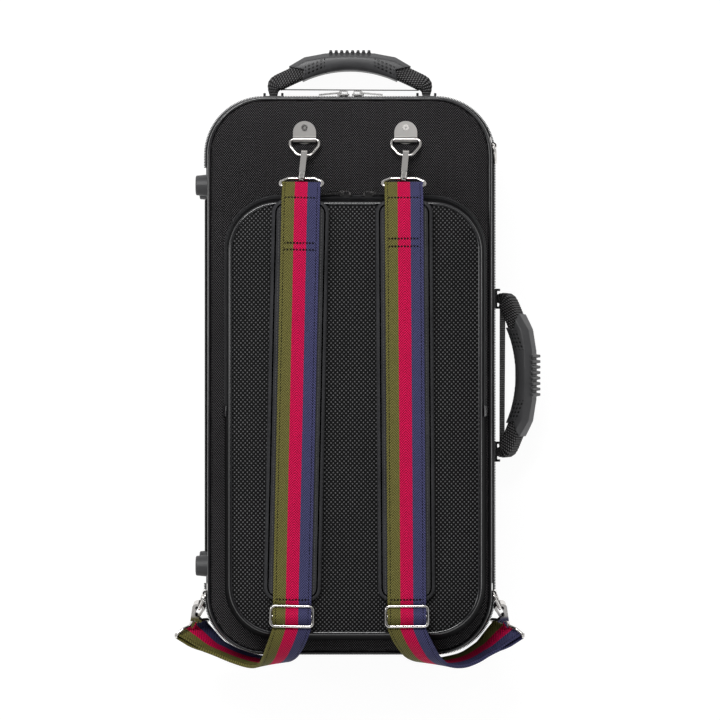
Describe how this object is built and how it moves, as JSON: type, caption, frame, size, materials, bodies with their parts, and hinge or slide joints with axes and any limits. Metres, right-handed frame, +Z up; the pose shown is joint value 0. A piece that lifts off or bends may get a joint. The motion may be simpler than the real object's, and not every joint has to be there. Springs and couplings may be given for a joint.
{
  "type": "bassoon case",
  "caption": "Zipped oblong instrument case with a front pocket, striped backpack straps on snap hooks, carry handles and a fitted lining.",
  "frame": {"origin": "centre of the base's outer face, on the surface that the case lies on", "axes": "+X across the case from its hinge to its side handle, +Y towards the top handle, +Z up through the lid"},
  "size_m": [0.3972, 0.6699, 0.2015],
  "materials": {
    "twill": "black ballistic twill",
    "vinyl": "black vinyl piping",
    "zip_tape": "woven zip tape",
    "zip_teeth": "black nylon coil",
    "plush": "charcoal plush",
    "rubber": "moulded rubber, satin",
    "handle_webbing": "black tubular webbing",
    "black_metal": "black lacquer",
    "air_mesh": "black air mesh",
    "nickel": "polished nickel",
    "strap_pad": "black padded nylon",
    "strap_stripes": "webbing in three equal stripes of olive, crimson and navy"
  },
  "bodies": {
    "base": {"base_shell": "twill", "base_hinge_band": "twill", "base_piping": "vinyl", "base_zip_tape": "zip_tape", "base_zip_teeth": "zip_teeth", "base_lining": "plush", "base_feet": "rubber", "handle_brackets": "black_metal", "handle_pins": "black_metal", "base_foot_screws": "black_metal"},
    "lid": {"lid_shell": "twill", "pocket_gusset": "twill", "lid_hinge_band": "twill", "lid_piping": "vinyl", "pocket_piping": "vinyl", "lid_zip_tape": "zip_tape", "pocket_zip": "zip_tape", "pocket_zip_patches": "zip_tape", "lid_zip_teeth": "zip_teeth", "lid_lining": "plush", "lid_feet": "rubber", "lid_foot_screws": "black_metal", "pocket_panel": "air_mesh", "anchor_plates": "nickel", "anchor_rivets": "nickel", "anchor_rings": "nickel", "upper_loops": "nickel", "lower_loops": "nickel", "lower_rings": "nickel", "side_ring_plates": "nickel", "strap_buckles": "nickel", "upper_hook_left": "nickel", "upper_hook_right": "nickel", "lower_hook_left": "nickel", "lower_hook_right": "nickel", "strap_pad_left": "strap_pad", "strap_pad_right": "strap_pad", "strap_webbing_left": "strap_stripes", "strap_webbing_right": "strap_stripes", "strap_tail_left": "strap_stripes", "strap_tail_right": "strap_stripes"},
    "top_handle": {"top_handle_webbing": "handle_webbing", "top_handle_grip": "rubber"},
    "side_handle": {"side_handle_webbing": "handle_webbing", "side_handle_grip": "rubber"},
    "shoulder_ring": {"shoulder_ring": "nickel"},
    "main_slider_left": {"main_slider_left": "nickel"},
    "main_pull_left": {"main_pull_left": "nickel"},
    "pocket_slider_left": {"pocket_slider_left": "nickel"},
    "pocket_pull_left": {"pocket_pull_left": "nickel"},
    "upper_gate_left": {"upper_gate_left": "nickel"},
    "lower_gate_left": {"lower_gate_left": "nickel"},
    "main_slider_right": {"main_slider_right": "nickel"},
    "main_pull_right": {"main_pull_right": "nickel"},
    "pocket_slider_right": {"pocket_slider_right": "nickel"},
    "pocket_pull_right": {"pocket_pull_right": "nickel"},
    "upper_gate_right": {"upper_gate_right": "nickel"},
    "lower_gate_right": {"lower_gate_right": "nickel"}
  },
  "joints": [
    {"name": "lid_hinge", "type": "hinge", "parent": "base", "child": "lid", "pos_m": [-0.16, 0, 0.0762], "axis": [0, -1, 0], "range_deg": [0, 110]},
    {"name": "top_handle_swing", "type": "hinge", "parent": "base", "child": "top_handle", "pos_m": [0, 0.30536, 0.038], "axis": [1, 0, 0], "range_deg": [-33, 45]},
    {"name": "side_handle_swing", "type": "hinge", "parent": "base", "child": "side_handle", "pos_m": [0.16036, 0, 0.038], "axis": [0, -1, 0], "range_deg": [-65, 13]},
    {"name": "main_slider_left_slide", "type": "slide", "parent": "base", "child": "main_slider_left", "axis": [-1, 0, 0], "range_m": [0, 0.078]},
    {"name": "main_pull_left_swing", "type": "hinge", "parent": "main_slider_left", "child": "main_pull_left", "pos_m": [-0.0098, 0.3068, 0.0762], "axis": [0, 0, -1], "range_deg": [0, 150]},
    {"name": "pocket_slider_left_slide", "type": "slide", "parent": "lid", "child": "pocket_slider_left", "axis": [-1, 0, 0], "range_m": [0, 0.05]},
    {"name": "pocket_pull_left_swing", "type": "hinge", "parent": "pocket_slider_left", "child": "pocket_pull_left", "pos_m": [-0.0069, 0.19377, 0.16004], "axis": [0, 0.3162, -0.9487], "range_deg": [0, 150]},
    {"name": "main_slider_right_slide", "type": "slide", "parent": "base", "child": "main_slider_right", "axis": [1, 0, 0], "range_m": [0, 0.078]},
    {"name": "main_pull_right_swing", "type": "hinge", "parent": "main_slider_right", "child": "main_pull_right", "pos_m": [0.0118, 0.3068, 0.0762], "axis": [0, 0, 1], "range_deg": [0, 150]},
    {"name": "pocket_slider_right_slide", "type": "slide", "parent": "lid", "child": "pocket_slider_right", "axis": [1, 0, 0], "range_m": [0, 0.05]},
    {"name": "pocket_pull_right_swing", "type": "hinge", "parent": "pocket_slider_right", "child": "pocket_pull_right", "pos_m": [0.0229, 0.19377, 0.16004], "axis": [0, -0.3162, 0.9487], "range_deg": [0, 150]},
    {"name": "shoulder_ring_swing", "type": "hinge", "parent": "lid", "child": "shoulder_ring", "pos_m": [0.15485, 0.2465, 0.11271], "axis": [-0.0969, -0.0153, 0.9952], "range_deg": [0, 150]},
    {"name": "upper_gate_left_spring", "type": "hinge", "parent": "lid", "child": "upper_gate_left", "pos_m": [-0.04932, 0.21667, 0.16847], "axis": [0.9962, -0.0731, 0.0475], "range_deg": [0, 18], "stiffness_Nm_per_rad": 0.02, "springref_deg": -11.46},
    {"name": "upper_gate_right_spring", "type": "hinge", "parent": "lid", "child": "upper_gate_right", "pos_m": [0.05798, 0.21667, 0.16847], "axis": [0.9962, -0.0731, 0.0475], "range_deg": [0, 18], "stiffness_Nm_per_rad": 0.02, "springref_deg": -11.46},
    {"name": "lower_gate_left_spring", "type": "hinge", "parent": "lid", "child": "lower_gate_left", "pos_m": [-0.16414, -0.26003, 0.10719], "axis": [-0.1825, -0.6323, 0.7529], "range_deg": [0, 18], "stiffness_Nm_per_rad": 0.02, "springref_deg": -11.46},
    {"name": "lower_gate_right_spring", "type": "hinge", "parent": "lid", "child": "lower_gate_right", "pos_m": [0.16414, -0.26003, 0.10719], "axis": [-0.1825, 0.6323, -0.7529], "range_deg": [0, 18], "stiffness_Nm_per_rad": 0.02, "springref_deg": -11.46}
  ]
}
